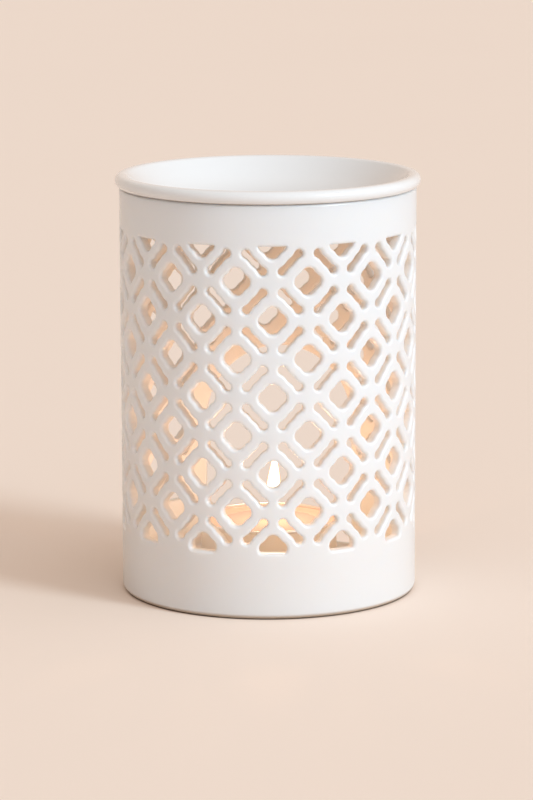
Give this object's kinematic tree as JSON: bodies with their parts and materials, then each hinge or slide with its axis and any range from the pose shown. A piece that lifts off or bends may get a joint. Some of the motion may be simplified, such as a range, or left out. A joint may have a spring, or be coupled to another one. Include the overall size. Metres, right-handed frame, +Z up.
{
  "type": "essential oil burner",
  "caption": "Pierced ceramic cylinder oil burner with a rear doorway, a lift-off oil dish and a tealight that slides out.",
  "frame": {"origin": "centre of the underside, in the plane of the foot ring", "axes": "+Z up along the cylinder's axis, +Y through the middle of the rear doorway, +X to the right seen from the front"},
  "size_m": [0.0844, 0.0844, 0.1167],
  "materials": {
    "body_glaze": "gloss",
    "dish_glaze": "gloss",
    "cup_aluminium": "satin",
    "wax": "satin",
    "wick_cotton": "matte",
    "tab_steel": "satin"
  },
  "bodies": {
    "burner": {"burner_body": "body_glaze"},
    "dish": {"oil_dish": "dish_glaze"},
    "tealight": {"tealight_cup": "cup_aluminium", "tealight_wax": "wax", "wick": "wick_cotton", "wick_tab": "tab_steel"}
  },
  "joints": [
    {"name": "dish_lift", "type": "slide", "parent": "burner", "child": "dish", "axis": [0, 0, 1], "range_m": [0, 0.06]},
    {"name": "tealight_slide", "type": "slide", "parent": "burner", "child": "tealight", "axis": [0, 1, 0], "range_m": [0, 0.065]}
  ]
}
